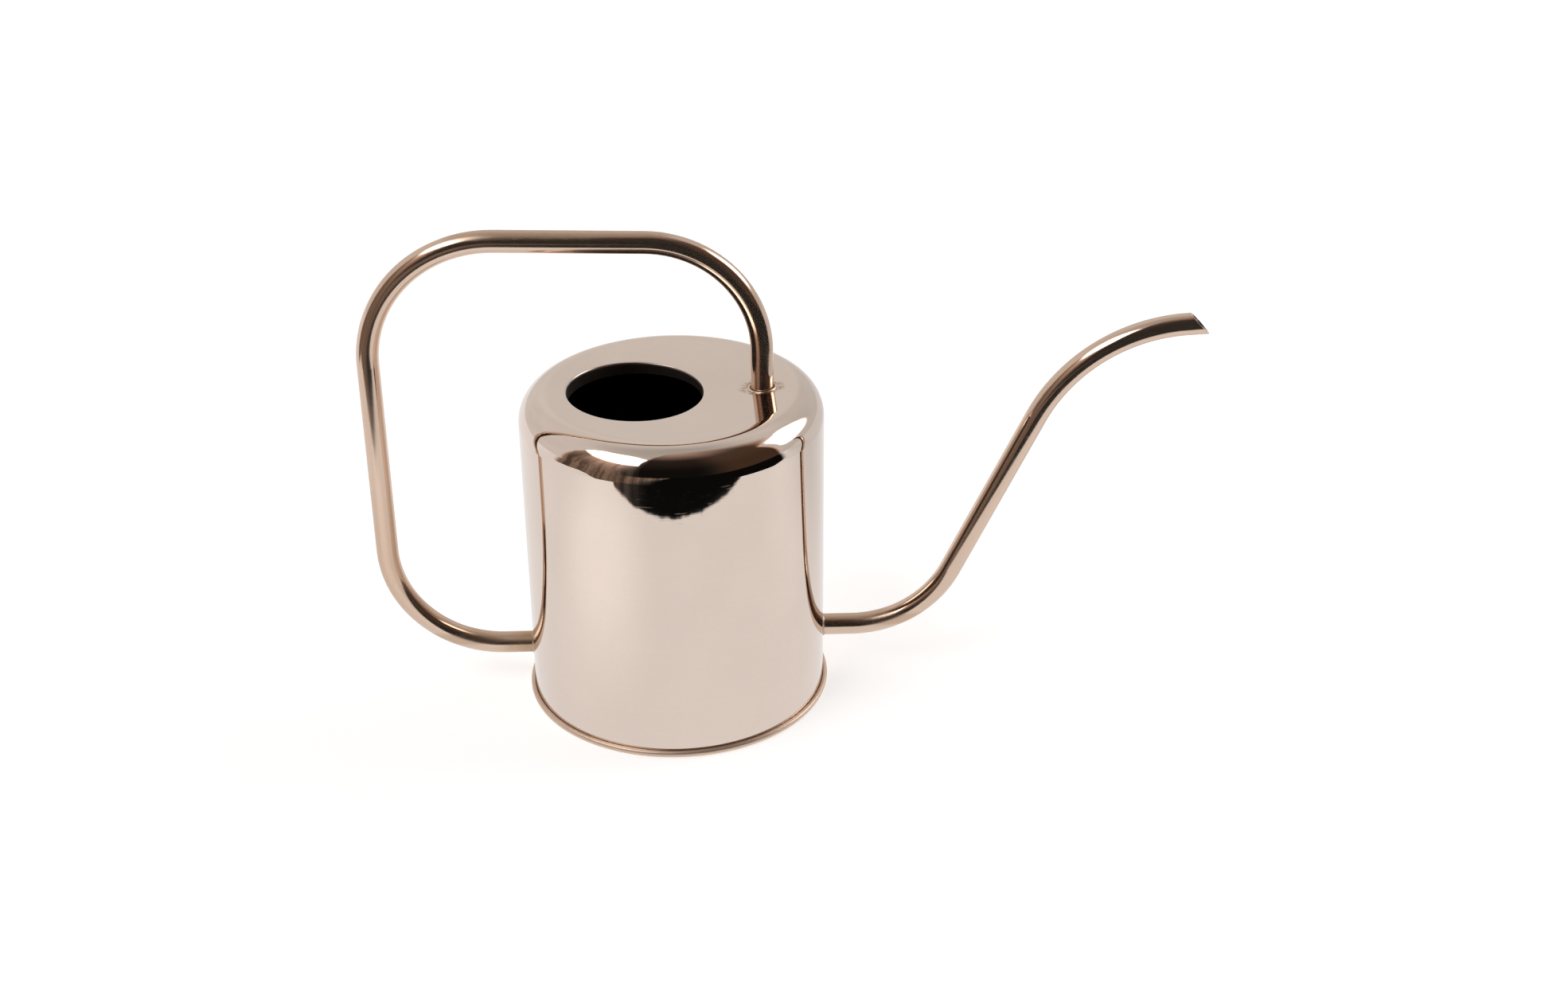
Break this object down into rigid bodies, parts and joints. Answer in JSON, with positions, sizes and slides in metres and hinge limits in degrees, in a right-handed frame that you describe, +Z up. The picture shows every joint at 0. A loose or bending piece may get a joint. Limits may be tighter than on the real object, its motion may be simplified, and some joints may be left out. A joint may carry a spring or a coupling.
{
  "type": "watering can",
  "caption": "Metal watering can with an open off-centre fill opening in its dished top, a bent tube handle and a slim curved tube spout.",
  "frame": {"origin": "centre of the can's flat base, on the ground, on the axis of the body", "axes": "+Z up along the body's axis, +X towards the spout with the handle at -X, Y across; the handle and the spout lie in the plane Y = 0"},
  "size_m": [0.3584, 0.134, 0.2151],
  "materials": {
    "plated_shell": "polished warm nickel plate on drawn steel sheet",
    "plated_base": "polished warm nickel plate on steel sheet",
    "plated_tube": "polished warm nickel plate on steel tube",
    "braze": "plated braze metal with a brown heat tint",
    "sealant": "grey seam compound"
  },
  "bodies": {
    "root": {"body_shell": "plated_shell", "base_plate": "plated_base", "seam_sealant": "sealant", "handle_tube": "plated_tube", "spout_tube": "plated_tube", "handle_foot_braze": "braze", "handle_lower_braze": "braze", "spout_braze": "braze"}
  },
  "joints": []
}
